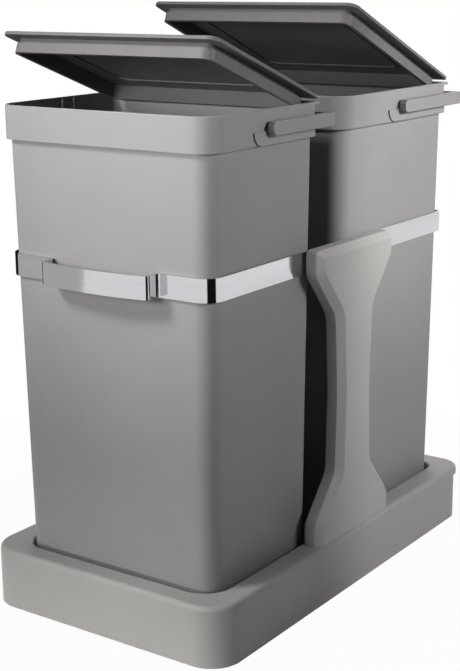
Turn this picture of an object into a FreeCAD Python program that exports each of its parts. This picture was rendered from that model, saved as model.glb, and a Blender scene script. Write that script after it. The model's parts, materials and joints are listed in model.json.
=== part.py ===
"""Pull-out waste unit for the floor of a kitchen cabinet.

Two lidded buckets stand in a moulded tray. The tray runs forward on a pair of
three-member ball slides, which hide under its side shelves and are screwed to the
cabinet floor through two rails. A flat steel band, bowed out at the front as a
handle, holds the buckets and is carried by a post at each side.

Millimetres. +Z is up, -Y is the front, where the handle is, and +X is the right
side of the unit seen from behind the handle. The origin lies on the cabinet floor,
at the centre of the four floor screws.
"""
import FreeCAD, Part
import math
import os

V = FreeCAD.Vector
UP = V(0, 0, 1)
ACROSS = V(1, 0, 0)
REARWARD = V(0, 1, 0)

# ---- tray -----------------------------------------------------------------------
floor_gap = 3.5              # skirt's lower edge above the cabinet floor
tray_height = 54.0
tray_wall = 2.5
tray_corner_radius = 28.0
tray_rear_corner_radius = 20.0
tray_edge_radius = 4.5
well_floor_clearance = 8.0   # under the well's floor
well_side_gap = 1.0          # bucket's widest to the well's edge
well_front_gap = 2.5
well_rear_gap = 5.0
well_corner_radius = 26.0
well_rear_corner_radius = 15.0
well_draft_deg = 2.0
well_edge_radius = 2.0
rear_lip_reach = 5.0         # grip lip along the rear edge
rear_lip_height = 9.0
locating_rib_height = 5.0
locating_rib_thickness = 1.8
locating_rib_clearance = 1.2
skirt_rib_thickness = 2.0
skirt_rib_spacing = 54.0

# ---- buckets --------------------------------------------------------------------
bucket_seat_gap = 0.3
bucket_width = 219.0         # over the collar, which the tray's width follows
front_bucket_depth = 154.5
rear_bucket_depth = 192.0
front_bucket_from_tray_front = 18.5
rear_bucket_from_tray_rear = 22.0
bucket_spacing = 45.0        # between the two collars
rim_height = 448.5           # above the cabinet floor
bucket_wall = 2.0
collar_height = 28.5
collar_overhang = 4.5        # past the body at the front and sides
collar_rear_overhang = 1.0
collar_corner_radius = 19.0
collar_rear_corner_radius = 5.0
bucket_draft_deg = 0.6
bucket_foot_radius = 3.5
rim_shelf_reach = 6.0        # shelf behind the collar that carries the lid
rim_shelf_thickness = 2.5
ledge_proud = 1.5            # raised ledge under each handle arm
ledge_height = 11.0
ledge_ahead_of_pivot = 29.0
pivot_rib_spacing = 15.0
pivot_rib_depth = 1.8
pivot_rib_thickness = 1.6
rim_edge_radius = 0.8

# ---- bail handles ---------------------------------------------------------------
bail_pivot_below_rim = 15.3
bail_pivot_behind_centre = 11.0
bail_side_gap = 2.5          # collar to the arm's inner face
bail_arm_thickness = 6.5
bail_bar_thickness = 7.0
bail_height = 11.4
bail_bar_behind_collar = 9.2
bail_nose = 12.0
bail_nose_chamfer = 3.2
bail_edge_radius = 1.4
bail_hub_radius = 5.4
bail_hub_gap = 0.4
bail_stub_radius = 4.0
bail_stub_clearance = 0.07
bail_stub_reach = 2.0        # beyond the collar's inner face

# ---- lids -----------------------------------------------------------------------
front_lid_open_deg = 20.5
rear_lid_open_deg = 22.5
lid_rear_overhang = 3.0
lid_plate_thickness = 3.0
lid_corner_radius = 9.0
lid_rear_corner_radius = 4.0
lid_edge_radius = 1.0
lid_seat_height = 2.5        # plate's underside above the rim when closed
lid_groove_height = 4.0
lid_groove_depth = 2.0
lid_skirt_height = 8.5
lid_skirt_wall = 2.0
lid_skirt_inset = 8.0
lid_skirt_rear_clearance = 3.0
lid_skirt_radius = 9.0
lid_panel_radius = 12.0
lid_panel_inset = 22.0
lid_panel_rib = 1.6
lid_panel_depth = 1.2

# ---- lid hinges -----------------------------------------------------------------
hinge_station = 48.0         # from the middle plane
hinge_behind_collar = 1.0
knuckle_length = 32.0
knuckle_radius = 3.3
knuckle_gap = 0.4
lug_thickness = 4.0
hinge_pin_radius = 1.5
hinge_pin_clearance = 0.06
hinge_notch_clearance = 0.9

# ---- band and posts -------------------------------------------------------------
band_thickness = 2.0
band_side_gap = 1.6          # bucket to the band, level with its top
band_front_gap = 0.5
band_rear_gap = 5.0
band_height = 19.4
band_bottom = 303.6
band_front_radius = 17.0
band_rear_radius = 9.0
band_joint_gap = 1.0
bow_half_width = 56.0
bow_outset = 14.5
bow_arch = 5.0               # further out in the middle than at its ends
bow_arch_straight = 0.6      # left between the arch and the bow's corners
bow_outer_radius = 4.5
bow_root_radius = 2.5
post_half_width = 63.0
joint_ahead_of_rear_bucket = 2.0
post_behind_joint = 3.5
post_waist_half_width = 26.0
post_thickness = 16.2
post_wall = 2.5
post_chamfer = 6.2
post_above_band = 1.8
post_head_height = 22.0
post_head_sweep = 40.0
post_foot_height = 20.0
post_foot_sweep = 40.0
post_corner_radius = 4.0
post_seam_gap = 2.4          # cover to the band
core_half_width = 18.0
core_thickness = 3.0
core_foot_reach = 14.0
core_screw_spacing = 24.0
core_rib_thickness = 2.0
core_rib_above_tray = 60.0
core_rib_below_top = 50.0

# ---- slides and rails -----------------------------------------------------------
slide_end_gap = 21.0         # slide's end to the tray's
slide_axis_height = 27.0
slide_sheet = 1.2
slide_outer_half_height = 19.0
slide_width = 12.7
slide_web_gap = 1.3
slide_lip_gap = 2.2
outer_ball_radius = 2.0
inner_ball_radius = 1.6
ball_clearance = 0.08
race_depth = 0.45
race_flange = 1.6
ball_spacing = 34.0
balls_per_row = 3
cage_sheet = 0.8
cage_hole_clearance = 0.15
slide_pad = 2.1              # boss between the skirt and the inner member
slide_pad_size = 14.0
slide_pad_from_end = 45.0
rail_sheet = 1.5
rail_gap = 0.7               # rail to the well's wall
rail_foot_width = 15.0
rail_top_margin = 1.0
rail_end_reach = 1.0         # past the slide's end
rail_hole_from_end = 26.0
floor_hole_radius = 2.6
strap_sheet = 1.0
strap_width = 32.0
strap_from_hole = 60.0
strap_lap = 12.0
strap_rivet_head_height = 0.6

# ---- fasteners ------------------------------------------------------------------
rivet_shank_radius = 2.0
rivet_head_radius = 3.6
rivet_head_height = 1.0
screw_shank_radius = 1.7
screw_head_radius = 3.4
screw_head_height = 1.6
screw_length = 9.0
socket_radius = 1.2
band_rivet_offset = 9.0
slide_rivet_from_end = 45.0

# ---- places that follow from the sizes above ------------------------------------
tray_top = floor_gap + tray_height
tray_length = (front_bucket_from_tray_front + front_bucket_depth + bucket_spacing + rear_bucket_depth
               + rear_bucket_from_tray_rear)
tray_front = -tray_length / 2
tray_rear = tray_length / 2
collar_half_width = bucket_width / 2
body_half_width = collar_half_width - collar_overhang
body_front = tray_front + front_bucket_from_tray_front + collar_overhang
body_rear = tray_rear - rear_bucket_from_tray_rear - collar_rear_overhang
well_half_width = body_half_width + well_side_gap
well_front = body_front - well_front_gap
well_rear = body_rear + well_rear_gap
well_floor_top = well_floor_clearance + tray_wall
bucket_bottom = well_floor_top + bucket_seat_gap
collar_bottom = rim_height - collar_height
body_corner_radius = collar_corner_radius - collar_overhang
body_rear_corner_radius = collar_rear_corner_radius - collar_rear_overhang
bucket_taper = (collar_bottom - bucket_bottom) * math.tan(math.radians(bucket_draft_deg))
band_top = band_bottom + band_height
taper_at_band = (collar_bottom - band_top) * math.tan(math.radians(bucket_draft_deg))
pivot_height = rim_height - bail_pivot_below_rim
hinge_height = rim_height + lid_seat_height
band_half_width = body_half_width - taper_at_band + band_side_gap + band_thickness
band_front = body_front + taper_at_band - band_front_gap - band_thickness
band_rear = body_rear - taper_at_band + band_rear_gap + band_thickness
band_joint = tray_rear - rear_bucket_from_tray_rear - rear_bucket_depth - joint_ahead_of_rear_bucket
post_inner = band_half_width + post_seam_gap
post_outer = post_inner + post_thickness
post_top = band_top + post_above_band
rail_inboard = well_half_width + tray_wall + rail_gap
rail_outboard = rail_inboard + rail_sheet
slide_inboard = rail_outboard
slide_outboard = slide_inboard + slide_width
tray_half_width = slide_outboard + slide_pad + tray_wall
slide_length = tray_length - 2 * slide_end_gap
slide_pad_spacing = slide_length / 2 - slide_pad_from_end
slide_rivet_spacing = slide_length / 2 - slide_rivet_from_end
rail_length = slide_length + 2 * rail_end_reach
rail_hole_spacing = rail_length - 2 * rail_hole_from_end
strap_spacing = rail_hole_spacing - 2 * strap_from_hole
rail_top = slide_axis_height + slide_outer_half_height + rail_top_margin
rail_foot_edge = rail_outboard - rail_foot_width
floor_hole_x = rail_foot_edge + rail_foot_width * 0.42
strap_rivet_x = rail_foot_edge + strap_lap / 2
core_screw_x = band_half_width + core_thickness + (core_foot_reach - core_thickness) / 2
outer_race = slide_outer_half_height - race_flange
outer_ball_height = outer_race + race_depth - ball_clearance - outer_ball_radius
middle_half_height = outer_ball_height - outer_ball_radius - ball_clearance + race_depth
middle_race = middle_half_height - race_flange
inner_ball_height = middle_race + race_depth - ball_clearance - inner_ball_radius
inner_half_height = inner_ball_height - inner_ball_radius - ball_clearance + race_depth
middle_web = slide_inboard + slide_sheet + slide_web_gap
race_x = (middle_web + slide_outboard) / 2


class Bucket:
    """The places of one bucket along the tray."""

    def __init__(self, name, front, depth, lid_open_deg):
        self.name = name
        self.lid_open_deg = lid_open_deg
        self.front = front
        self.rear = front + depth
        self.pivot = front + depth / 2 + bail_pivot_behind_centre
        self.hinge = self.rear + hinge_behind_collar


front_bucket = Bucket("front", tray_front + front_bucket_from_tray_front, front_bucket_depth, front_lid_open_deg)
rear_bucket = Bucket("rear", front_bucket.rear + bucket_spacing, rear_bucket_depth, rear_lid_open_deg)
buckets = [front_bucket, rear_bucket]
sides = {"left": -1, "right": 1}


# ---- shape helpers --------------------------------------------------------------
def box(x0, x1, y0, y1, z0, z1):
    return Part.makeBox(x1 - x0, y1 - y0, z1 - z0, V(x0, y0, z0))


def rod(radius, start, direction, length):
    return Part.makeCylinder(radius, length, start, direction)


def round_path(points, radii, closed):
    """Edges through the points, each corner turned with its own radius."""
    count = len(points)
    corners = []
    for i, point in enumerate(points):
        if not closed and i in (0, count - 1) or radii[i] <= 0:
            corners.append((point, None, point))
            continue
        back = (points[i - 1] - point).normalize()
        ahead = (points[(i + 1) % count] - point).normalize()
        half = back.getAngle(ahead) / 2
        reach = radii[i] / math.tan(half)
        centre = point + (back + ahead).normalize() * (radii[i] / math.sin(half))
        middle = centre + (point - centre).normalize() * radii[i]
        corners.append((point + back * reach, middle, point + ahead * reach))
    edges = []
    for i, (start, middle, end) in enumerate(corners):
        if middle is not None:
            edges.append(Part.Arc(start, middle, end).toShape())
        if i + 1 < count or closed:
            following = corners[(i + 1) % count][0]
            if end.distanceToPoint(following) > 1e-6:
                edges.append(Part.LineSegment(end, following).toShape())
    return edges


def outline(points, radii):
    return Part.Wire(round_path(points, radii, True))


def rounded_rectangle(half_width, front, rear, radius, z, rear_radius=None):
    points = [V(-half_width, front, z), V(half_width, front, z), V(half_width, rear, z), V(-half_width, rear, z)]
    back = radius if rear_radius is None else rear_radius
    return outline(points, [radius, radius, back, back])


def prism(half_width, front, rear, radius, z0, z1, rear_radius=None):
    wire = rounded_rectangle(half_width, front, rear, radius, z0, rear_radius)
    return Part.Face(wire).extrude(UP * (z1 - z0))


def tapered(half_width, front, rear, radius, z0, z1, taper, rear_radius=None):
    """A rounded prism whose given outline is at the top, drawn in by taper at the bottom."""
    top = rounded_rectangle(half_width, front, rear, radius, z1, rear_radius)
    low = rounded_rectangle(half_width - taper, front + taper, rear - taper, radius, z0, rear_radius)
    return Part.makeLoft([low, top], True, True)


def offset_points(points, distance):
    """The open path's points moved sideways, to the left of its direction for a positive distance."""
    moved = []
    for i, point in enumerate(points):
        normals = []
        for a, b in ((i - 1, i), (i, i + 1)):
            if 0 <= a and b < len(points):
                run = (points[b] - points[a]).normalize()
                normals.append(V(-run.y, run.x, 0))
        total = normals[0] if len(normals) == 1 else normals[0] + normals[1]
        unit = total.normalize()
        moved.append(point + unit * (distance / unit.dot(normals[0])))
    return moved


def bent_strip(points, radii, thickness, height):
    """A flat strip on edge, bent along an open path in plan. The radii are the strip's inner ones."""
    sides_of_strip = []
    for sign in (1, -1):
        turned = []
        for i, radius in enumerate(radii):
            if 0 < i < len(points) - 1:
                before = points[i] - points[i - 1]
                after = points[i + 1] - points[i]
                left_turn = before.x * after.y - before.y * after.x > 0
                turned.append(radius if left_turn == (sign > 0) else radius + thickness)
            else:
                turned.append(0)
        path = offset_points(points, sign * thickness / 2)
        sides_of_strip.append(round_path(path, turned, False))
    first, second = sides_of_strip
    ends = [
        Part.LineSegment(first[0].firstVertex().Point, second[0].firstVertex().Point).toShape(),
        Part.LineSegment(first[-1].lastVertex().Point, second[-1].lastVertex().Point).toShape(),
    ]
    wire = Part.Wire(Part.__sortEdges__(first + second + ends))
    return Part.Face(wire).extrude(UP * height)


def edges_where(shape, test):
    return [edge for edge in shape.Edges if test(edge)]


def level_edges(shape, z):
    """The edges that lie at one height."""
    return edges_where(shape, lambda e: abs(e.BoundBox.ZMin - z) < 1e-4 and abs(e.BoundBox.ZMax - z) < 1e-4)


def mirrored(shape):
    return shape.mirror(V(0, 0, 0), ACROSS)


def on_side(shape, side):
    return shape if side > 0 else mirrored(shape)


def pair_at_joint(offset):
    """Two places along the tray, ahead of and behind the band's joint."""
    return band_joint - offset, band_joint + offset


def rivet(at, direction, grip, head_height=rivet_head_height):
    """A cone-headed rivet whose head lies on the face at the given point."""
    head = Part.makeCone(rivet_head_radius - head_height, rivet_head_radius, head_height,
                         at - direction * head_height, direction)
    return head.fuse(rod(rivet_shank_radius, at, direction, grip)).removeSplitter()


def screw(at, direction):
    """A pan-head screw whose head lies on the face at the given point."""
    head = rod(screw_head_radius, at - direction * screw_head_height, direction, screw_head_height)
    socket = rod(socket_radius, at - direction * screw_head_height, direction, screw_head_height * 0.6)
    return head.fuse(rod(screw_shank_radius, at, direction, screw_length)).cut(socket)


def export(name, shape):
    solids = shape.Solids
    shape = solids[0] if len(solids) == 1 else Part.makeCompound(solids)
    if not shape.isValid():
        print("not valid:", name)
    shape.exportStep("parts/" + name + ".step")
    print(name, len(solids), round(shape.Volume / 1000, 1))


# ---- tray -----------------------------------------------------------------------
def base_tray():
    skirt = prism(tray_half_width, tray_front, tray_rear, tray_corner_radius, floor_gap, tray_top,
                  tray_rear_corner_radius)
    lip = prism(tray_half_width, tray_front, tray_rear + rear_lip_reach, tray_corner_radius,
                tray_top - rear_lip_height, tray_top, tray_rear_corner_radius)
    behind = box(-tray_half_width, tray_half_width, tray_rear - tray_corner_radius, tray_length, 0, tray_top * 2)
    outside = skirt.fuse(lip.common(behind)).removeSplitter()
    outside = outside.makeFillet(tray_edge_radius, level_edges(outside, tray_top))
    well_depth = tray_top - well_floor_top
    taper = well_depth * math.tan(math.radians(well_draft_deg))
    w = tray_wall
    well = tapered(well_half_width, well_front, well_rear, well_corner_radius, well_floor_top, tray_top, taper,
                   well_rear_corner_radius)
    basin = tapered(well_half_width + w, well_front - w, well_rear + w, well_corner_radius + w,
                    well_floor_clearance, tray_top, taper, well_rear_corner_radius + w)
    under = prism(tray_half_width - w, tray_front + w, tray_rear - w, tray_corner_radius - w, floor_gap,
                  tray_top - w, tray_rear_corner_radius - w)
    tray = outside.cut(under.cut(basin)).cut(well)
    rim = edges_where(tray, lambda e: abs(e.BoundBox.ZMin - tray_top) < 1e-4
                      and abs(e.CenterOfMass.x) < well_half_width + 1e-3
                      and well_front - 1e-3 < e.CenterOfMass.y < well_rear + 1e-3)
    tray = tray.makeFillet(well_edge_radius, rim)
    for bucket in buckets:
        tray = tray.fuse(locating_rib(bucket))
    for step in (-1, 0, 1):
        for y0, y1 in ((tray_front + 1, well_front), (well_rear, tray_rear - 1)):
            x = step * skirt_rib_spacing
            rib = box(x - skirt_rib_thickness / 2, x + skirt_rib_thickness / 2, y0, y1,
                      floor_gap + tray_wall, tray_top - tray_wall / 2)
            tray = tray.fuse(rib.cut(well))
    for side in sides.values():
        for step in (-1, 0, 1):
            y = step * slide_pad_spacing
            pad = box(slide_outboard, slide_outboard + slide_pad + tray_wall / 2,
                      y - slide_pad_size / 2, y + slide_pad_size / 2,
                      slide_axis_height - slide_pad_size / 2, slide_axis_height + slide_pad_size / 2)
            tray = tray.fuse(on_side(pad, side))
            hole = rod(screw_shank_radius, V(slide_outboard - 1, y, slide_axis_height), ACROSS, screw_length)
            tray = tray.cut(on_side(hole.common(pad), side))
        gate = box(rail_inboard - slide_web_gap / 2, slide_outboard - slide_web_gap / 2,
                   slide_length / 2, tray_length, 0, rail_top + rail_top_margin)
        tray = tray.cut(on_side(gate, side))
        for y in pair_at_joint(core_screw_spacing / 2):
            tray = tray.cut(rod(screw_shank_radius, V(side * core_screw_x, y, tray_top - 4 * tray_wall), UP,
                                5 * tray_wall))
    return tray.removeSplitter()


def locating_rib(bucket):
    """A low frame on the well's floor that the bucket's foot drops into."""
    half, front, rear = body_sides(bucket)
    clear = locating_rib_clearance - bucket_taper
    full = clear + locating_rib_thickness
    radius, rear_radius = body_corner_radius, body_rear_corner_radius
    top = well_floor_top + locating_rib_height
    frame = prism(half + full, front - full, rear + full, radius, well_floor_top, top, rear_radius)
    space = prism(half + clear, front - clear, rear + clear, radius, well_floor_top, top, rear_radius)
    return frame.cut(space)


# ---- buckets --------------------------------------------------------------------
def body_sides(bucket):
    """Half width, front and rear of the bucket's body right under its collar."""
    return body_half_width, bucket.front + collar_overhang, bucket.rear - collar_rear_overhang


def bucket_shell(bucket):
    half, front, rear = body_sides(bucket)
    w = bucket_wall
    corner, rear_corner = body_corner_radius, body_rear_corner_radius
    body = tapered(half, front, rear, corner, bucket_bottom, collar_bottom, bucket_taper, rear_corner)
    body = body.makeFillet(bucket_foot_radius, level_edges(body, bucket_bottom))
    hollow = tapered(half - w, front + w, rear - w, corner - w, bucket_bottom + w, collar_bottom, bucket_taper,
                     rear_corner - w)
    hollow = hollow.makeFillet(bucket_foot_radius - w, level_edges(hollow, bucket_bottom + w))
    throat = prism(half - w, front + w, rear - w, corner - w, collar_bottom, collar_bottom + w, rear_corner - w)
    collar = prism(collar_half_width, bucket.front, bucket.rear, collar_corner_radius, collar_bottom, rim_height,
                   collar_rear_corner_radius)
    mouth = prism(collar_half_width - w, bucket.front + w, bucket.rear - w, collar_corner_radius - w,
                  collar_bottom + w, rim_height, collar_rear_corner_radius - w)
    collar = collar.makeFillet(rim_edge_radius, level_edges(collar, rim_height))
    shell = body.fuse(collar).cut(hollow).cut(throat).cut(mouth)
    shelf = box(-collar_half_width + rim_edge_radius, collar_half_width - rim_edge_radius,
                bucket.rear - 2 * w, bucket.rear + rim_shelf_reach, rim_height - rim_shelf_thickness, rim_height)
    shell = shell.fuse(shelf.cut(mouth))
    for side in sides.values():
        shell = shell.fuse(on_side(handle_ledge(bucket), side))
        bore = rod(bail_stub_radius + bail_stub_clearance,
                   V(collar_half_width - 2 * w, bucket.pivot, pivot_height), ACROSS, 3 * w)
        shell = shell.cut(on_side(bore, side))
        for step in (-1, 1):
            y = bucket.pivot + step * pivot_rib_spacing / 2
            inner = collar_half_width - w
            rib = box(inner - pivot_rib_depth, inner + w / 2,
                      y - pivot_rib_thickness / 2, y + pivot_rib_thickness / 2, collar_bottom + w / 2, rim_height - w)
            shell = shell.fuse(on_side(rib, side))
        x = side * hinge_station
        slot = knuckle_length / 2 + knuckle_gap
        shell = shell.cut(box(x - slot, x + slot, bucket.hinge - knuckle_radius - hinge_notch_clearance,
                              bucket.hinge + knuckle_radius + hinge_notch_clearance,
                              hinge_height - knuckle_radius - hinge_notch_clearance, rim_height + 1))
        for end in (-1, 1):
            shell = shell.fuse(hinge_lug(bucket, x + end * (slot + lug_thickness / 2)))
    return shell.removeSplitter()


def handle_ledge(bucket):
    """Raised ledge on the lower half of the collar, with a quarter-round front end."""
    start = bucket.pivot - ledge_ahead_of_pivot
    end = bucket.rear - collar_rear_corner_radius
    x = collar_half_width - bucket_wall / 2
    top = collar_bottom + ledge_height
    turn = ledge_height * math.sqrt(0.5)
    edges = [
        Part.Arc(V(x, start, top), V(x, start + ledge_height - turn, top - turn),
                 V(x, start + ledge_height, collar_bottom)).toShape(),
        Part.LineSegment(V(x, start + ledge_height, collar_bottom), V(x, end, collar_bottom)).toShape(),
        Part.LineSegment(V(x, end, collar_bottom), V(x, end, top)).toShape(),
        Part.LineSegment(V(x, end, top), V(x, start, top)).toShape(),
    ]
    return Part.Face(Part.Wire(edges)).extrude(ACROSS * (ledge_proud + bucket_wall / 2))


def hinge_lug(bucket, x):
    """An ear on the rim's shelf, bored for the hinge pin."""
    low = rim_height - rim_shelf_thickness
    ear = rod(knuckle_radius, V(x - lug_thickness / 2, bucket.hinge, hinge_height), ACROSS, lug_thickness)
    stem = box(x - lug_thickness / 2, x + lug_thickness / 2, bucket.hinge - knuckle_radius,
               bucket.hinge + knuckle_radius, low, hinge_height)
    bore = rod(hinge_pin_radius, V(x - lug_thickness, bucket.hinge, hinge_height), ACROSS, 2 * lug_thickness)
    return ear.fuse(stem).cut(bore)


def hinge_pins(bucket):
    length = knuckle_length + 2 * (knuckle_gap + lug_thickness)
    pins = []
    for side in sides.values():
        start = V(side * hinge_station - length / 2, bucket.hinge, hinge_height)
        pins.append(rod(hinge_pin_radius, start, ACROSS, length))
    return Part.makeCompound(pins)


# ---- lids -----------------------------------------------------------------------
def lid(bucket):
    """Modelled closed, then turned open about its hinge."""
    under = rim_height + lid_seat_height
    half = collar_half_width
    front = bucket.front
    rear = bucket.rear + lid_rear_overhang
    plate = prism(half, front, rear, lid_corner_radius, under, under + lid_plate_thickness, lid_rear_corner_radius)
    plate = plate.makeFillet(lid_edge_radius, level_edges(plate, under + lid_plate_thickness))
    skirt_half = half - lid_skirt_inset
    skirt_front = front + lid_skirt_inset
    skirt_rear = bucket.rear - bucket_wall - lid_skirt_rear_clearance
    low = under - lid_groove_height - lid_skirt_height
    g = lid_groove_depth
    neck = prism(skirt_half - g, skirt_front + g, skirt_rear - g, lid_skirt_radius - g, low, under)
    skirt = prism(skirt_half, skirt_front, skirt_rear, lid_skirt_radius, low, low + lid_skirt_height)
    w = lid_skirt_wall + g
    inside = prism(skirt_half - w, skirt_front + w, skirt_rear - w, lid_skirt_radius - w, low, under)
    shape = plate.fuse(neck.fuse(skirt).cut(inside))
    i = w + lid_panel_inset
    r = lid_panel_rib
    panel = prism(skirt_half - i, skirt_front + i, skirt_rear - i, lid_panel_radius, under - lid_panel_depth, under)
    centre = prism(skirt_half - i - r, skirt_front + i + r, skirt_rear - i - r, lid_panel_radius - r,
                   under - lid_panel_depth, under)
    shape = shape.fuse(panel.cut(centre))
    reach = knuckle_radius + hinge_notch_clearance
    for side in sides.values():
        x = side * hinge_station
        notch = knuckle_length / 2 + knuckle_gap + lug_thickness + hinge_notch_clearance
        shape = shape.cut(box(x - notch, x + notch, bucket.hinge - reach, rear + 1, low, under + 2 * reach))
        knuckle = rod(knuckle_radius, V(x - knuckle_length / 2, bucket.hinge, hinge_height), ACROSS, knuckle_length)
        web = box(x - knuckle_length / 2, x + knuckle_length / 2, bucket.hinge - reach - 1, bucket.hinge,
                  under, under + lid_plate_thickness - lid_edge_radius / 2)
        bore = rod(hinge_pin_radius + hinge_pin_clearance,
                   V(x - knuckle_length, bucket.hinge, hinge_height), ACROSS, 2 * knuckle_length)
        shape = shape.fuse(knuckle.fuse(web)).cut(bore)
    shape = shape.removeSplitter()
    shape.rotate(V(0, bucket.hinge, hinge_height), ACROSS, -bucket.lid_open_deg)
    return shape


# ---- bail handles ---------------------------------------------------------------
def bail(bucket):
    """U-shaped handle folded down behind the bucket, with a stub at each end of its arms."""
    inner = collar_half_width + bail_side_gap
    outer = inner + bail_arm_thickness
    nose = bucket.pivot - bail_nose
    bar_inner = bucket.rear + bail_bar_behind_collar
    bar_outer = bar_inner + bail_bar_thickness
    low = pivot_height - bail_height / 2
    points = [V(-outer, nose, low), V(-inner, nose, low), V(-inner, bar_inner, low), V(inner, bar_inner, low),
              V(inner, nose, low), V(outer, nose, low), V(outer, bar_outer, low), V(-outer, bar_outer, low)]
    e = bail_edge_radius
    shape = Part.Face(outline(points, [0, 0, e, e, 0, 0, 2 * e, 2 * e])).extrude(UP * bail_height)
    noses = edges_where(shape, lambda e: e.BoundBox.YMax < nose + 1e-4 and e.BoundBox.ZLength < 1e-4)
    shape = shape.makeChamfer(bail_nose_chamfer, noses)
    rims = edges_where(shape, lambda e: e.BoundBox.XMin > outer - 1e-4 or e.BoundBox.XMax < 1e-4 - outer
                       or e.BoundBox.YMin > bar_inner + 1e-4)
    shape = shape.makeFillet(e / 2, rims)
    for side in sides.values():
        hub_start = collar_half_width + ledge_proud + bail_hub_gap
        hub = rod(bail_hub_radius, V(hub_start, bucket.pivot, pivot_height), ACROSS, inner + 1 - hub_start)
        reach = bucket_wall + bail_stub_reach
        stub = rod(bail_stub_radius, V(collar_half_width - reach, bucket.pivot, pivot_height), ACROSS,
                   reach + bail_side_gap + 1)
        shape = shape.fuse(on_side(hub.fuse(stub), side))
    return shape.removeSplitter()


# ---- band and posts -------------------------------------------------------------
def front_band():
    """The band's front half, bowed out in the middle as the pull handle."""
    t = band_thickness / 2
    x = band_half_width - t
    y = band_front + t
    bow = bow_half_width - t
    z = band_bottom
    turn = math.atan2(bow_arch, bow / 2)
    corner_share = math.tan((math.pi / 2 - turn) / 2)
    arch_share = math.tan(turn / 2)
    bow_side = bow / 2 / math.cos(turn) - t * (corner_share + arch_share)
    bow_corner = bow_outer_radius - band_thickness
    arch_radius = (bow_side - bow_corner * corner_share - bow_arch_straight) / arch_share
    left = [V(-x, band_joint - band_joint_gap, z), V(-x, y, z), V(-bow, y, z), V(-bow, y - bow_outset, z),
            V(-bow / 2, y - bow_outset - bow_arch, z)]
    points = left + [V(-p.x, p.y, z) for p in reversed(left)]
    corner = band_front_radius - band_thickness
    radii = [0, corner, bow_root_radius, bow_corner, arch_radius]
    radii += reversed(radii)
    return drilled_band(bent_strip(points, radii, band_thickness, band_height), -1)


def rear_band():
    t = band_thickness / 2
    x = band_half_width - t
    y = band_rear - t
    joint = band_joint + band_joint_gap
    points = [V(-x, joint, band_bottom), V(-x, y, band_bottom), V(x, y, band_bottom), V(x, joint, band_bottom)]
    corner = band_rear_radius - band_thickness
    return drilled_band(bent_strip(points, [0, corner, corner, 0], band_thickness, band_height), 1)


def drilled_band(strip, end):
    middle = band_bottom + band_height / 2
    hole = rod(rivet_shank_radius, V(-2 * band_half_width, band_joint + end * band_rivet_offset, middle), ACROSS,
               4 * band_half_width)
    return strip.cut(hole)


def post_outline(x, inset):
    """The dog-bone section of the post: a wide head and foot, swept into a narrow waist."""
    half = post_half_width - inset
    waist = post_waist_half_width - inset
    top = post_top - inset
    foot = tray_top
    head_low = post_top - post_head_height + inset * 0.4
    foot_high = tray_top + post_foot_height - inset * 0.4
    upper = [V(x, half, top), V(x, half, head_low), V(x, waist + 4, head_low - post_head_sweep)]
    lower = [V(x, waist + 3, foot_high + post_foot_sweep), V(x, half, foot_high), V(x, half, foot)]
    right = upper + [V(x, waist, (post_top + tray_top) / 2)] + lower
    points = right + [V(x, -p.y, p.z) for p in reversed(right)]
    c = post_corner_radius if inset == 0 else 1.0
    sweep = post_head_sweep * 0.55
    turns = [c, 2.5 * post_corner_radius, sweep, 4 * post_half_width, sweep, 2.5 * post_corner_radius, 0]
    wire = outline(points, turns + list(reversed(turns)))
    wire.translate(REARWARD * (band_joint + post_behind_joint))
    return wire


def post_block(inset, x, chamfer_inset, top_x):
    """The post's section drawn straight out to x, then chamfered in up to top_x."""
    straight = Part.Face(post_outline(post_inner, inset)).extrude(ACROSS * (x - post_inner))
    return straight.fuse(Part.makeLoft([post_outline(x, inset), post_outline(top_x, chamfer_inset)], True, True))


def post_cover():
    """Moulded cover, open towards the buckets, with ribs that seat on the steel upright."""
    body = post_block(0, post_outer - post_chamfer, post_chamfer, post_outer)
    hollow = post_block(post_wall, post_outer - post_chamfer - post_wall / 2,
                        post_chamfer + 0.4 * post_wall, post_outer - post_wall)
    shell = body.cut(hollow)
    seat = band_half_width + core_thickness
    middle = band_joint + post_behind_joint
    reach = post_waist_half_width - post_chamfer
    for z in (tray_top + core_rib_above_tray, (tray_top + post_top) / 2, post_top - core_rib_below_top):
        shell = shell.fuse(box(seat, post_outer - post_wall / 2, middle - reach, middle + reach,
                               z, z + core_rib_thickness))
    return shell.removeSplitter()


def post_core():
    """Steel upright behind the cover, with a foot on the tray's shelf."""
    inner = band_half_width
    top = post_top - post_wall - post_seam_gap
    points = [V(inner, 0, tray_top), V(inner + core_foot_reach, 0, tray_top),
              V(inner + core_foot_reach, 0, tray_top + core_thickness),
              V(inner + core_thickness, 0, tray_top + core_thickness),
              V(inner + core_thickness, 0, top), V(inner, 0, top)]
    bend = core_thickness
    profile = outline(points, [bend * 1.4, 0, 0, bend * 0.4, 0, 0])
    core = Part.Face(profile).extrude(REARWARD * (2 * core_half_width))
    core.translate(V(0, band_joint - core_half_width, 0))
    middle = band_bottom + band_height / 2
    for y in pair_at_joint(band_rivet_offset):
        core = core.cut(rod(rivet_shank_radius, V(inner - 1, y, middle), ACROSS, 2 * core_thickness))
    for y in pair_at_joint(core_screw_spacing / 2):
        core = core.cut(rod(screw_shank_radius, V(core_screw_x, y, tray_top - 1), UP, 2 * core_thickness))
    return core


def band_rivets():
    rivets = []
    for side in sides.values():
        for y in pair_at_joint(band_rivet_offset):
            at = V(band_half_width - band_thickness, y, band_bottom + band_height / 2)
            rivets.append(on_side(rivet(at, ACROSS, band_thickness + core_thickness), side))
    return Part.makeCompound(rivets)


def post_screws():
    screws = []
    for side in sides.values():
        for y in pair_at_joint(core_screw_spacing / 2):
            screws.append(screw(V(side * core_screw_x, y, tray_top + core_thickness), -UP))
    return Part.makeCompound(screws)


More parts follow.
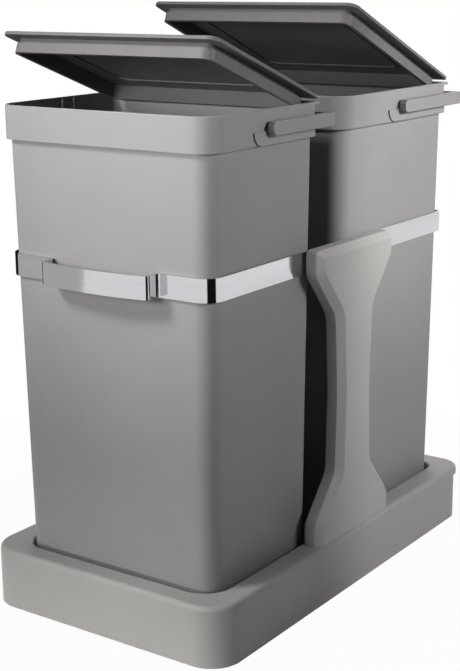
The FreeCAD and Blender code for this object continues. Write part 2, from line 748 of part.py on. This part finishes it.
# ---- slides ---------------------------------------------------------------------
def channel(web, direction, half_height, reach, length):
    """A rolled C section along Y: a thin web and two thicker race flanges."""
    y = -length / 2
    x0, x1 = sorted((web, web + direction * slide_sheet))
    f0, f1 = sorted((web, web + direction * reach))
    shape = box(x0, x1, y, -y, slide_axis_height - half_height, slide_axis_height + half_height)
    for sign in (-1, 1):
        low, high = sorted((sign * half_height, sign * (half_height - race_flange)))
        shape = shape.fuse(box(f0, f1, y, -y, slide_axis_height + low, slide_axis_height + high))
    shape = shape.removeSplitter()
    bend = edges_where(shape, lambda e: abs(e.BoundBox.XMin - web) < 1e-4 and abs(e.BoundBox.XMax - web) < 1e-4
                       and e.BoundBox.YLength > length - 1)
    return shape.makeFillet(slide_sheet * 0.9, bend)


def race_cuts(shape, height, ball_radius):
    for sign in (-1, 1):
        groove = rod(ball_radius + ball_clearance, V(race_x, -slide_length, slide_axis_height + sign * height),
                     REARWARD, 2 * slide_length)
        shape = shape.cut(groove)
    return shape


def rivet_holes(shape, direction_x):
    for step in (-1, 0, 1):
        hole = rod(rivet_shank_radius, V(direction_x - 2, step * slide_rivet_spacing, slide_axis_height), ACROSS, 4)
        shape = shape.cut(hole)
    return shape


def slide_outer():
    reach = slide_width - slide_lip_gap
    shape = channel(slide_inboard, 1, slide_outer_half_height, reach, slide_length)
    return rivet_holes(race_cuts(shape, outer_ball_height, outer_ball_radius), slide_inboard)


def slide_middle():
    reach = slide_outboard - slide_lip_gap - middle_web
    shape = channel(middle_web, 1, middle_half_height, reach, slide_length)
    shape = race_cuts(shape, outer_ball_height, outer_ball_radius)
    return race_cuts(shape, inner_ball_height, inner_ball_radius)


def slide_inner():
    reach = slide_outboard - middle_web - slide_sheet - slide_web_gap
    shape = channel(slide_outboard, -1, inner_half_height, reach, slide_length)
    shape = race_cuts(shape, inner_ball_height, inner_ball_radius)
    for step in (-1, 0, 1):
        hole = rod(screw_shank_radius, V(slide_outboard - 4, step * slide_pad_spacing, slide_axis_height), ACROSS, 8)
        shape = shape.cut(hole)
    return shape


def ball_places(height):
    first = -(balls_per_row - 1) / 2 * ball_spacing
    return [V(race_x, first + i * ball_spacing, slide_axis_height + sign * height)
            for sign in (-1, 1) for i in range(balls_per_row)]


def ball_cage(height, ball_radius):
    """Two thin strips with round windows, one for each row of balls."""
    half_length = balls_per_row * ball_spacing / 2
    strips = []
    for sign in (-1, 1):
        z = slide_axis_height + sign * height
        strips.append(box(race_x - 2 * ball_radius, race_x + 2 * ball_radius, -half_length, half_length,
                          z - cage_sheet / 2, z + cage_sheet / 2))
    cage = Part.makeCompound(strips)
    for place in ball_places(height):
        cage = cage.cut(rod(ball_radius + cage_hole_clearance, place - UP * cage_sheet, UP, 2 * cage_sheet))
    return cage


def slide_balls(height, ball_radius):
    return Part.makeCompound([Part.makeSphere(ball_radius, place) for place in ball_places(height)])


# ---- rails and straps on the cabinet floor --------------------------------------
def floor_rail():
    half = rail_length / 2
    points = [V(rail_outboard, 0, 0), V(rail_outboard, 0, rail_top), V(rail_inboard, 0, rail_top),
              V(rail_inboard, 0, rail_sheet), V(rail_foot_edge, 0, rail_sheet), V(rail_foot_edge, 0, 0)]
    profile = outline(points, [2 * rail_sheet, 0, 0, rail_sheet, 0, 0])
    rail = Part.Face(profile).extrude(REARWARD * rail_length)
    rail.translate(V(0, -half, 0))
    for y in (-rail_hole_spacing / 2, rail_hole_spacing / 2):
        rail = rail.cut(rod(floor_hole_radius, V(floor_hole_x, y, -1), UP, 2 * rail_sheet + 1))
    for y in (-strap_spacing / 2, strap_spacing / 2):
        rail = rail.cut(rod(rivet_shank_radius, V(strap_rivet_x, y, -1), UP, 2 * rail_sheet + 1))
    return rivet_holes(rail, rail_outboard)


def cross_strap(y):
    half = rail_foot_edge + strap_lap
    strap = box(-half, half, y - strap_width / 2, y + strap_width / 2, rail_sheet, rail_sheet + strap_sheet)
    for side in sides.values():
        strap = strap.cut(rod(rivet_shank_radius, V(side * strap_rivet_x, y, rail_sheet - 1), UP, 2 + strap_sheet))
    return strap


def strap_rivets():
    rivets = []
    for side in sides.values():
        for y in (-strap_spacing / 2, strap_spacing / 2):
            top = V(side * strap_rivet_x, y, rail_sheet + strap_sheet)
            rivets.append(rivet(top, -UP, rail_sheet + strap_sheet, strap_rivet_head_height))
    return Part.makeCompound(rivets)


def slide_rivets():
    """Rivets through the rail and the outer member, their heads inside the channel."""
    rivets = []
    for side in sides.values():
        for step in (-1, 0, 1):
            at = V(slide_inboard + slide_sheet, step * slide_rivet_spacing, slide_axis_height)
            rivets.append(on_side(rivet(at, -ACROSS, slide_sheet + rail_sheet), side))
    return Part.makeCompound(rivets)


def slide_screws():
    """Screws through the inner member into the tray's pads."""
    screws = []
    for side in sides.values():
        for step in (-1, 0, 1):
            at = V(slide_outboard - slide_sheet, step * slide_pad_spacing, slide_axis_height)
            head = rod(screw_head_radius, at - ACROSS * screw_head_height, ACROSS, screw_head_height)
            shank = rod(screw_shank_radius, at, ACROSS, slide_sheet + slide_pad)
            screws.append(on_side(head.fuse(shank), side))
    return Part.makeCompound(screws)


# ---- the whole unit -------------------------------------------------------------
os.makedirs("parts", exist_ok=True)
export("base_tray", base_tray())
export("front_band", front_band())
export("rear_band", rear_band())
export("band_rivets", band_rivets())
export("post_screws", post_screws())
export("slide_screws", slide_screws())
export("slide_rivets", slide_rivets())
export("strap_rivets", strap_rivets())
export("cross_strap_front", cross_strap(-strap_spacing / 2))
export("cross_strap_rear", cross_strap(strap_spacing / 2))
for side_name, side in sides.items():
    export("floor_rail_" + side_name, on_side(floor_rail(), side))
    export("slide_outer_" + side_name, on_side(slide_outer(), side))
    export("slide_middle_" + side_name, on_side(slide_middle(), side))
    export("slide_inner_" + side_name, on_side(slide_inner(), side))
    export("outer_cage_" + side_name, on_side(ball_cage(outer_ball_height, outer_ball_radius), side))
    export("outer_balls_" + side_name, on_side(slide_balls(outer_ball_height, outer_ball_radius), side))
    export("inner_cage_" + side_name, on_side(ball_cage(inner_ball_height, inner_ball_radius), side))
    export("inner_balls_" + side_name, on_side(slide_balls(inner_ball_height, inner_ball_radius), side))
    export("post_core_" + side_name, on_side(post_core(), side))
    export("post_cover_" + side_name, on_side(post_cover(), side))
for bucket in buckets:
    export(bucket.name + "_bucket", bucket_shell(bucket))
    export(bucket.name + "_hinge_pins", hinge_pins(bucket))
    export(bucket.name + "_lid", lid(bucket))
    export(bucket.name + "_bail", bail(bucket))
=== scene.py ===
"""The looks of a pull-out waste unit: two lidded buckets in a tray, with a chromed band.

Metres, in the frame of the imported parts: +Z up, -Y the front, +X the right side.
"""
import json
import math

import bmesh
import bpy
from mathutils import Matrix, Vector

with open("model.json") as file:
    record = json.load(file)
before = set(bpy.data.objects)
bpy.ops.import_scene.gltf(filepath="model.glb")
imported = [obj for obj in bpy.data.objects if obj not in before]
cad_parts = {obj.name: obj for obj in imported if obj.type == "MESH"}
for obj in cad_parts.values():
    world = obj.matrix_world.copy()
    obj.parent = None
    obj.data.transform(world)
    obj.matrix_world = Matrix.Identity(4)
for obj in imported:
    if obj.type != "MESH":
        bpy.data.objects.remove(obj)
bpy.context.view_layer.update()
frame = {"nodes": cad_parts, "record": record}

NODES = frame["nodes"]

# ---- camera ---------------------------------------------------------------------
CAMERA_PLACE = Vector((0.7340, -1.0597, 0.5551))
CAMERA_AZIMUTH = math.radians(35.126)     # round from the front towards the right side
CAMERA_ELEVATION = math.radians(14.471)
CAMERA_ROLL = math.radians(-0.501)
CAMERA_LENS = 75.98                       # millimetres
CAMERA_SENSOR_WIDTH = 36.0                # millimetres, on the picture's long side

# ---- studio ---------------------------------------------------------------------
WORLD_STRENGTH = 0.01                     # of the light that falls on things
WHITE = (1.0, 1.0, 1.0, 1.0)
FLOOR_SIZE = 14.0
FLOOR_GREY = (0.50, 0.50, 0.50, 1.0)      # under the white that the camera sees
FLOOR_ROUGHNESS = 0.9
FLOOR_SPECULAR = 0.1
FLOOR_WHITE_NEAR = 0.97                   # share of plain white close to the unit
FLOOR_NEAR_ENDS = 0.30                    # from the middle
FLOOR_ALL_WHITE_FROM = 0.60

SCREEN_RADIUS = 2.0
SCREEN_HEIGHT = 2.2
SCREEN_STEPS = 12
SCREEN_CLOTH_START = 0.42                 # the cloth on the floor, from the middle
SCREEN_CLOTH_HEIGHT = 0.002
DARK_CLOTH = 0.008
GREY_CLOTH = 0.55
SCREENS = (                               # name, first and last angle, cloth
    ("front_right_dark_screen", 40.0, 84.0, "dark_cloth"),
    ("front_left_grey_screen", -71.0, -38.0, "grey_cloth"),
    ("left_dark_screen", -150.0, -71.0, "dark_cloth"),
)

FULL_SPREAD = 180.0
SOFT_BOXES = (                            # name, place, aim, width, height, watts, spread
    ("front_left_high_box", (-0.48, -0.90, 1.10), (0.05, -0.2, 0.40), 0.3, 0.3, 0.82, 44.0),
    ("front_left_low_box", (-0.55, -1.15, 0.60), (0.06, -0.2, 0.52), 0.35, 0.3, 0.35, 56.0),
    ("front_box", (-0.10, -1.25, 0.65), (0.09, -0.2, 0.50), 0.35, 0.3, 0.74, 48.0),
    ("tray_strip_box", (-0.25, -1.2, 0.10), (0.0, -0.2, -0.06), 0.5, 0.05, 0.25, 26.0),
    ("right_box", (1.15, 0.02, 0.75), (0.11, -0.12, 0.50), 0.35, 0.3, 0.72, 54.0),
    ("overhead_box", (-0.10, 0.45, 1.6), (0.0, 0.05, 0.3), 0.6, 0.6, 5.0, FULL_SPREAD),
    ("rear_box", (-0.7, 0.9, 1.2), (0.0, 0.1, 0.45), 0.5, 0.5, 4.9, FULL_SPREAD),
)
SPOTS = (                                 # name, place, aim, cone, blend, watts
    ("side_spot", (0.95, 0.35, 0.70), (0.12, 0.64, 0.30), 78.0, 0.03, 18.0),
    ("rear_bucket_spot", (1.0, 0.08, 0.80), (0.11, 0.13, 0.39), 20.0, 0.8, 14.0),
)
SPOT_LAMP_RADIUS = 0.05

# ---- colours, linear ------------------------------------------------------------
TRAY_GREY = (0.430, 0.420, 0.406)
BUCKET_GREY = (0.300, 0.296, 0.290)
# painted shade: the buckets' plastic made darker, so that the lids' colour carries the shade that
# falls on them
LID_GREY_WITH_PAINTED_SHADE = (0.138, 0.135, 0.131)
HANDLE_GREY = (0.285, 0.279, 0.270)
POST_GREY = (0.470, 0.461, 0.447)
CHROME = (0.62, 0.62, 0.635)
ZINC = (0.56, 0.57, 0.59)
BEARING_STEEL = (0.62, 0.63, 0.65)

# ---- finishes' own numbers --------------------------------------------------------
PLASTIC_SPECULAR = 0.15
NOISE_MIDDLE = (0.3, 0.7)                 # where most of a noise pattern's values lie
CLOUD_SCALE = 14.0
RUBBED_SCALE = 55.0
RUBBED_ROUGHNESS = 0.045                  # more or less than the base roughness
ROLLED_CLOUD_SCALE = 0.12
ROLLED_SHADES = (0.93, 1.04)
ALONG_THE_RAILS = (900.0, 6.0, 900.0)     # pattern scale along X, Y and Z
ROUND_THE_BAND = (20.0, 20.0, 700.0)
EVEN_ON_BALLS = (300.0, 300.0, 300.0)
EVEN_ON_FASTENERS = (600.0, 600.0, 600.0)

# A colour Mix node's sockets go by number, because their names repeat.
MIX_FIRST, MIX_SECOND, MIX_RESULT = 6, 7, 2


# ---- shader helpers -------------------------------------------------------------
class Group:
    """A shader node group that puts out colours, masks and heights."""

    def __init__(self, name):
        self.tree = bpy.data.node_groups.new(name, "ShaderNodeTree")
        self.inside = self.tree.nodes.new("NodeGroupInput")
        self.outside = self.tree.nodes.new("NodeGroupOutput")

    def add_socket(self, name, side, kind):
        return self.tree.interface.new_socket(name=name, in_out=side, socket_type=kind)

    def value_in(self, name, default):
        socket = self.add_socket(name, "INPUT", "NodeSocketFloat")
        socket.default_value = default
        return self.inside.outputs[name]

    def colour_in(self, name, default):
        socket = self.add_socket(name, "INPUT", "NodeSocketColor")
        socket.default_value = (*default, 1.0)
        return self.inside.outputs[name]

    def vector_in(self, name):
        self.add_socket(name, "INPUT", "NodeSocketVector")
        return self.inside.outputs[name]

    def put_out(self, name, kind, source):
        self.add_socket(name, "OUTPUT", kind)
        self.tree.links.new(source, self.outside.inputs[name])


def feed(tree, socket, value):
    """Links a socket or sets a plain value."""
    if isinstance(value, bpy.types.NodeSocket):
        tree.links.new(value, socket)
    else:
        socket.default_value = value


def noise(tree, vector, scale, detail=3.0, roughness=0.55):
    node = tree.nodes.new("ShaderNodeTexNoise")
    feed(tree, node.inputs["Vector"], vector)
    feed(tree, node.inputs["Scale"], scale)
    node.inputs["Detail"].default_value = detail
    node.inputs["Roughness"].default_value = roughness
    return node.outputs["Fac"]


def remap(tree, value, from_low, from_high, to_low, to_high):
    node = tree.nodes.new("ShaderNodeMapRange")
    feed(tree, node.inputs["Value"], value)
    feed(tree, node.inputs["From Min"], from_low)
    feed(tree, node.inputs["From Max"], from_high)
    feed(tree, node.inputs["To Min"], to_low)
    feed(tree, node.inputs["To Max"], to_high)
    return node.outputs["Result"]


def combine(tree, operation, first, second):
    node = tree.nodes.new("ShaderNodeMath")
    node.operation = operation
    feed(tree, node.inputs[0], first)
    feed(tree, node.inputs[1], second)
    return node.outputs["Value"]


def tint(tree, first, second):
    """One colour or shade times another."""
    node = tree.nodes.new("ShaderNodeMix")
    node.data_type = "RGBA"
    node.blend_type = "MULTIPLY"
    feed(tree, node.inputs["Factor"], 1.0)
    feed(tree, node.inputs[MIX_FIRST], first)
    feed(tree, node.inputs[MIX_SECOND], second)
    return node.outputs[MIX_RESULT]


def moulded_grain():
    """Fine spark-eroded texture of a moulding: colour, roughness and height."""
    group = Group("moulded_grain")
    tree = group.tree
    place = group.vector_in("Place")
    colour = group.colour_in("Colour", (0.35, 0.35, 0.35))
    base_roughness = group.value_in("Roughness", 0.5)
    grain_scale = group.value_in("Grain Scale", 2200.0)
    mottling = group.value_in("Mottling", 0.04)
    grain = noise(tree, place, grain_scale, 2.0, 0.5)
    cloud = noise(tree, place, CLOUD_SCALE, 3.0, 0.6)
    rubbed = noise(tree, place, RUBBED_SCALE, 4.0, 0.65)
    shade = remap(tree, cloud, *NOISE_MIDDLE, combine(tree, "SUBTRACT", 1.0, mottling),
                  combine(tree, "ADD", 1.0, mottling))
    change = remap(tree, rubbed, *NOISE_MIDDLE, -RUBBED_ROUGHNESS, RUBBED_ROUGHNESS)
    rough = combine(tree, "ADD", base_roughness, change)
    group.put_out("Colour", "NodeSocketColor", tint(tree, colour, shade))
    group.put_out("Roughness", "NodeSocketFloat", rough)
    group.put_out("Height", "NodeSocketFloat", grain)
    return group.tree


def rolled_metal():
    """Long fine lines along one direction, with a slight cloudiness."""
    group = Group("rolled_metal")
    tree = group.tree
    place = group.vector_in("Place")
    colour = group.colour_in("Colour", (0.6, 0.6, 0.6))
    base_roughness = group.value_in("Roughness", 0.3)
    line_depth = group.value_in("Line Depth", 0.06)
    lines = noise(tree, place, 1.0, 4.0, 0.6)
    cloud = noise(tree, place, ROLLED_CLOUD_SCALE, 2.0, 0.5)
    shade = remap(tree, cloud, *NOISE_MIDDLE, *ROLLED_SHADES)
    group.put_out("Colour", "NodeSocketColor", tint(tree, colour, shade))
    low = combine(tree, "SUBTRACT", base_roughness, line_depth)
    high = combine(tree, "ADD", base_roughness, line_depth)
    group.put_out("Roughness", "NodeSocketFloat", remap(tree, lines, *NOISE_MIDDLE, low, high))
    group.put_out("Height", "NodeSocketFloat", lines)
    return group.tree


GRAIN = moulded_grain()
ROLLED = rolled_metal()


def new_material(name):
    material = bpy.data.materials.new(name)
    material.use_nodes = True
    tree = material.node_tree
    surface = tree.nodes["Principled BSDF"]
    place = tree.nodes.new("ShaderNodeTexCoord").outputs["Object"]
    return material, tree, surface, place


def add_bump(tree, surface, height, distance):
    bump = tree.nodes.new("ShaderNodeBump")
    bump.inputs["Strength"].default_value = 1.0
    bump.inputs["Distance"].default_value = distance
    tree.links.new(height, bump.inputs["Height"])
    tree.links.new(bump.outputs["Normal"], surface.inputs["Normal"])


def plastic(name, colour, roughness, grain_depth, grain_scale, mottling=0.03):
    material, tree, surface, place = new_material(name)
    grain = tree.nodes.new("ShaderNodeGroup")
    grain.node_tree = GRAIN
    tree.links.new(place, grain.inputs["Place"])
    grain.inputs["Colour"].default_value = (*colour, 1.0)
    grain.inputs["Roughness"].default_value = roughness
    grain.inputs["Grain Scale"].default_value = grain_scale
    grain.inputs["Mottling"].default_value = mottling
    tree.links.new(grain.outputs["Colour"], surface.inputs["Base Color"])
    tree.links.new(grain.outputs["Roughness"], surface.inputs["Roughness"])
    surface.inputs["Specular IOR Level"].default_value = PLASTIC_SPECULAR
    add_bump(tree, surface, grain.outputs["Height"], grain_depth)
    return material


def metal(name, colour, roughness, line_depth, stretch, bump_depth):
    """stretch is the pattern's scale along X, Y and Z, small along the rolling direction."""
    material, tree, surface, place = new_material(name)
    mapping = tree.nodes.new("ShaderNodeMapping")
    mapping.inputs["Scale"].default_value = stretch
    tree.links.new(place, mapping.inputs["Vector"])
    rolled = tree.nodes.new("ShaderNodeGroup")
    rolled.node_tree = ROLLED
    tree.links.new(mapping.outputs["Vector"], rolled.inputs["Place"])
    rolled.inputs["Colour"].default_value = (*colour, 1.0)
    rolled.inputs["Roughness"].default_value = roughness
    rolled.inputs["Line Depth"].default_value = line_depth
    tree.links.new(rolled.outputs["Colour"], surface.inputs["Base Color"])
    tree.links.new(rolled.outputs["Roughness"], surface.inputs["Roughness"])
    surface.inputs["Metallic"].default_value = 1.0
    add_bump(tree, surface, rolled.outputs["Height"], bump_depth)
    return material


# ---- finishes -------------------------------------------------------------------
def finishes():
    """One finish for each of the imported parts' material slots."""
    plastics = (                          # slot, colour, roughness, grain depth, grain scale
        ("tray_plastic", TRAY_GREY, 0.48, 0.00006, 1500.0),
        ("bucket_plastic", BUCKET_GREY, 0.40, 0.00002, 2600.0),
        # the lids' colour holds painted shade
        ("lid_plastic", LID_GREY_WITH_PAINTED_SHADE, 0.42, 0.00002, 2600.0),
        ("handle_plastic", HANDLE_GREY, 0.45, 0.00008, 1300.0),
        ("post_plastic", POST_GREY, 0.46, 0.00005, 1700.0),
    )
    metals = (                            # slot, colour, roughness, line depth, scale, bump depth
        ("band_chrome", CHROME, 0.09, 0.02, ROUND_THE_BAND, 0.000002),
        ("slide_steel", ZINC, 0.30, 0.08, ALONG_THE_RAILS, 0.00001),
        ("rail_steel", ZINC, 0.36, 0.08, ALONG_THE_RAILS, 0.00001),
        ("ball_steel", BEARING_STEEL, 0.12, 0.03, EVEN_ON_BALLS, 0.000001),
        ("fastener_steel", ZINC, 0.28, 0.06, EVEN_ON_FASTENERS, 0.000004),
    )
    made = {row[0]: plastic(*row) for row in plastics}
    made.update({row[0]: metal(*row) for row in metals})
    return made


def dress_cad_nodes(materials):
    slot_of = {row["node"]: row["material_slot"] for row in frame["record"]["subparts"]}
    for name, piece in NODES.items():
        piece.data.materials.clear()
        piece.data.materials.append(materials[slot_of[name]])


# ---- stage, light and camera ----------------------------------------------------
def bright_to_camera(tree, lit, share):
    """Mixes a lit surface with plain white for camera, glossy and transmission rays."""
    path = tree.nodes.new("ShaderNodeLightPath")
    seen = combine(tree, "MAXIMUM", path.outputs["Is Camera Ray"], path.outputs["Is Glossy Ray"])
    seen = combine(tree, "MAXIMUM", seen, path.outputs["Is Transmission Ray"])
    white = tree.nodes.new("ShaderNodeEmission")
    white.inputs["Color"].default_value = WHITE
    white.inputs["Strength"].default_value = 1.0
    mix = tree.nodes.new("ShaderNodeMixShader")
    tree.links.new(combine(tree, "MULTIPLY", seen, share), mix.inputs["Fac"])
    tree.links.new(lit, mix.inputs[1])
    tree.links.new(white.outputs[0], mix.inputs[2])
    return mix.outputs[0]


def studio_floor():
    bpy.ops.mesh.primitive_plane_add(size=FLOOR_SIZE, location=(0.0, 0.0, 0.0))
    floor = bpy.context.object
    floor.name = "studio_floor"
    material, tree, surface, place = new_material("studio_white")
    surface.inputs["Base Color"].default_value = FLOOR_GREY
    surface.inputs["Roughness"].default_value = FLOOR_ROUGHNESS
    surface.inputs["Specular IOR Level"].default_value = FLOOR_SPECULAR
    output = tree.nodes["Material Output"]
    distance = tree.nodes.new("ShaderNodeVectorMath")
    distance.operation = "LENGTH"
    tree.links.new(place, distance.inputs[0])
    share = remap(tree, distance.outputs["Value"], FLOOR_NEAR_ENDS, FLOOR_ALL_WHITE_FROM,
                  FLOOR_WHITE_NEAR, 1.0)
    tree.links.new(bright_to_camera(tree, surface.outputs[0], share), output.inputs["Surface"])
    floor.data.materials.append(material)


def studio_world():
    """White to the camera and in reflections, dim for everything that it lights."""
    world = bpy.data.worlds.new("studio_world")
    bpy.context.scene.world = world
    world.use_nodes = True
    tree = world.node_tree
    dim = tree.nodes["Background"]
    white = tree.nodes.new("ShaderNodeBackground")
    for background, strength in ((dim, WORLD_STRENGTH), (white, 1.0)):
        background.inputs["Color"].default_value = WHITE
        background.inputs["Strength"].default_value = strength
    path = tree.nodes.new("ShaderNodeLightPath")
    seen = combine(tree, "MAXIMUM", path.outputs["Is Camera Ray"], path.outputs["Is Glossy Ray"])
    mix = tree.nodes.new("ShaderNodeMixShader")
    tree.links.new(seen, mix.inputs["Fac"])
    tree.links.new(dim.outputs[0], mix.inputs[1])
    tree.links.new(white.outputs[0], mix.inputs[2])
    tree.links.new(mix.outputs[0], tree.nodes["World Output"].inputs["Surface"])


def screen_cloth(name, brightness):
    """Cloth of an even brightness, whatever light falls on it."""
    material = bpy.data.materials.new(name)
    material.use_nodes = True
    tree = material.node_tree
    glow = tree.nodes.new("ShaderNodeEmission")
    glow.inputs["Color"].default_value = WHITE
    glow.inputs["Strength"].default_value = brightness
    tree.links.new(glow.outputs[0], tree.nodes["Material Output"].inputs["Surface"])
    return material


def reflected_screen(name, first_deg, last_deg, cloth):
    """A curved screen and the cloth on the floor before it, seen only in reflections.

    The angles run round the middle, from the front towards the right side.
    """
    mesh = bmesh.new()
    first = Matrix.Rotation(math.radians(first_deg), 3, "Z")
    profile = [mesh.verts.new(first @ Vector((0.0, -from_middle, z)))
               for from_middle, z in ((SCREEN_CLOTH_START, SCREEN_CLOTH_HEIGHT),
                                      (SCREEN_RADIUS, SCREEN_CLOTH_HEIGHT),
                                      (SCREEN_RADIUS, SCREEN_HEIGHT))]
    edges = [mesh.edges.new(pair) for pair in zip(profile, profile[1:])]
    bmesh.ops.spin(mesh, geom=profile + edges, cent=(0.0, 0.0, 0.0), axis=(0.0, 0.0, 1.0),
                   angle=math.radians(last_deg - first_deg), steps=SCREEN_STEPS)
    data = bpy.data.meshes.new(name)
    mesh.to_mesh(data)
    mesh.free()
    screen = bpy.data.objects.new(name, data)
    bpy.context.scene.collection.objects.link(screen)
    data.materials.append(cloth)
    screen.visible_camera = False
    screen.visible_diffuse = False
    screen.visible_shadow = False


def place_lamp(name, lamp, place, aim, watts):
    lamp.energy = watts
    holder = bpy.data.objects.new(name, lamp)
    bpy.context.scene.collection.objects.link(holder)
    holder.location = place
    holder.rotation_euler = (Vector(aim) - Vector(place)).to_track_quat("-Z", "Y").to_euler()


def soft_box(name, place, aim, width, height, watts, spread_deg):
    lamp = bpy.data.lights.new(name, "AREA")
    lamp.shape = "RECTANGLE"
    lamp.size = width
    lamp.size_y = height
    lamp.spread = math.radians(spread_deg)
    place_lamp(name, lamp, place, aim, watts)


def spot(name, place, aim, cone_deg, blend, watts):
    lamp = bpy.data.lights.new(name, "SPOT")
    lamp.spot_size = math.radians(cone_deg)
    lamp.spot_blend = blend
    lamp.shadow_soft_size = SPOT_LAMP_RADIUS
    place_lamp(name, lamp, place, aim, watts)


def studio_lights():
    """Narrow boxes leave the lower half darker; two spots lift the right side's rear half."""
    for row in SOFT_BOXES:
        soft_box(*row)
    for row in SPOTS:
        spot(*row)


def studio_screens():
    cloths = {"dark_cloth": screen_cloth("dark_cloth", DARK_CLOTH),
              "grey_cloth": screen_cloth("grey_cloth", GREY_CLOTH)}
    for name, first_deg, last_deg, cloth in SCREENS:
        reflected_screen(name, first_deg, last_deg, cloths[cloth])


def photographers_camera():
    lens = bpy.data.cameras.new("camera")
    lens.lens = CAMERA_LENS
    lens.sensor_width = CAMERA_SENSOR_WIDTH
    camera = bpy.data.objects.new("camera", lens)
    bpy.context.scene.collection.objects.link(camera)
    level = math.cos(CAMERA_ELEVATION)
    back = Vector((math.sin(CAMERA_AZIMUTH) * level, -math.cos(CAMERA_AZIMUTH) * level,
                   math.sin(CAMERA_ELEVATION)))
    right = Vector((math.cos(CAMERA_AZIMUTH), math.sin(CAMERA_AZIMUTH), 0.0))
    turned = Matrix((right, back.cross(right), back)).transposed()
    roll = Matrix.Rotation(CAMERA_ROLL, 3, "Z")
    camera.matrix_world = Matrix.Translation(CAMERA_PLACE) @ (turned @ roll).to_4x4()
    bpy.context.scene.camera = camera


bpy.context.scene.view_settings.view_transform = "Standard"
dress_cad_nodes(finishes())
studio_floor()
studio_world()
studio_lights()
studio_screens()
photographers_camera()
